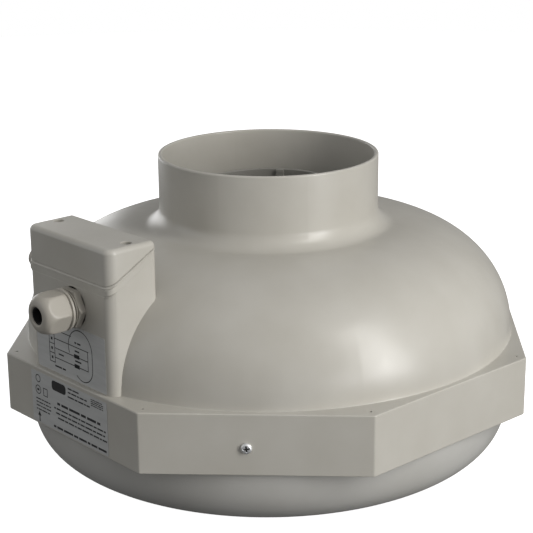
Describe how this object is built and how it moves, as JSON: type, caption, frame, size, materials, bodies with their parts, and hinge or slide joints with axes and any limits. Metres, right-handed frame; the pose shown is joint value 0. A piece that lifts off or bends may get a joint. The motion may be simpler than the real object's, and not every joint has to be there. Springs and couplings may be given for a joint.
{
  "type": "in-line duct extractor fan",
  "caption": "In-line duct extractor fan: domed casing with octagonal skirt, two round duct spigots, terminal box with cable gland, and a motor-driven centrifugal impeller inside.",
  "frame": {"origin": "centre of the inlet spigot's rim", "axes": "+Z along the air flow, from inlet to outlet; -Y towards the terminal box; +X to the right when the terminal box is seen from outside"},
  "size_m": [0.361, 0.3867, 0.248],
  "materials": {
    "casing_plastic": "satin moulded plastic",
    "bowl_plastic": "satin moulded plastic",
    "carrier_plastic": "moulded plastic",
    "impeller_plastic": "moulded plastic",
    "gland_plastic": "satin moulded nylon",
    "rubber": "matt rubber",
    "zinc_steel": "bright zinc plate",
    "spring_steel": "ground steel",
    "rotor_paint": "black paint",
    "lamination": "stacked sheet",
    "motor_casting": "as cast",
    "copper": "enamelled copper wire",
    "terminal_plastic": "moulded polyamide",
    "brass": "plated brass",
    "capacitor_shell": "moulded plastic",
    "label": "matt silver sticker",
    "cable_sheath": "sheathed lead",
    "wire_insulation": "insulated wire"
  },
  "bodies": {
    "casing": {"upper_casing": "casing_plastic", "casing_skirt": "casing_plastic", "outlet_spigot": "casing_plastic", "lower_casing": "bowl_plastic", "casing_seal": "rubber", "casing_screws": "zinc_steel", "inlet_ring": "carrier_plastic", "inlet_ring_screws": "zinc_steel", "motor_carrier": "carrier_plastic", "carrier_screws": "zinc_steel", "motor_flange": "motor_casting", "motor_screws": "zinc_steel", "stator_core": "lamination", "stator_windings": "copper", "bearing_outer_rings": "spring_steel", "preload_washer": "spring_steel", "terminal_box": "casing_plastic", "box_screws": "zinc_steel", "terminal_block": "terminal_plastic", "terminal_screws": "brass", "capacitor": "capacitor_shell", "capacitor_clip": "spring_steel", "gland_body": "gland_plastic", "gland_locknut": "gland_plastic", "gland_washer": "rubber", "gland_seal": "rubber", "blanking_plug": "gland_plastic", "wiring_label": "label", "rating_label": "label", "motor_lead": "cable_sheath", "lead_grommet": "rubber", "inner_wires": "wire_insulation"},
    "rotor": {"bearing_inner_rings": "spring_steel", "motor_shaft": "zinc_steel", "shaft_retaining_ring": "spring_steel", "rotor_shell": "rotor_paint", "rotor_core": "lamination", "impeller": "impeller_plastic", "impeller_shroud": "impeller_plastic", "impeller_screws": "zinc_steel", "balance_clip": "spring_steel"},
    "ball_sets": {"bearing_balls": "spring_steel"},
    "lid": {"box_lid": "casing_plastic", "lid_screws": "zinc_steel", "lid_gasket": "rubber"},
    "gland_nut": {"gland_nut": "gland_plastic"}
  },
  "joints": [
    {"name": "impeller_spin", "type": "hinge", "parent": "casing", "child": "rotor", "pos_m": [0, 0, 0.1], "axis": [0, 0, 1], "continuous": true},
    {"name": "ball_roll", "type": "hinge", "parent": "casing", "child": "ball_sets", "pos_m": [0, 0, 0.1], "axis": [0, 0, 1], "continuous": true},
    {"name": "lid_lift", "type": "slide", "parent": "casing", "child": "lid", "axis": [0, 0, 1], "range_m": [0, 0.08]},
    {"name": "gland_nut_turn", "type": "hinge", "parent": "casing", "child": "gland_nut", "pos_m": [0.006, -0.195, 0.173], "axis": [0, -1, 0], "range_deg": [0, 540]}
  ],
  "couplings": [
    {"joint": "ball_roll", "follows": "impeller_spin", "ratio": 0.38}
  ]
}
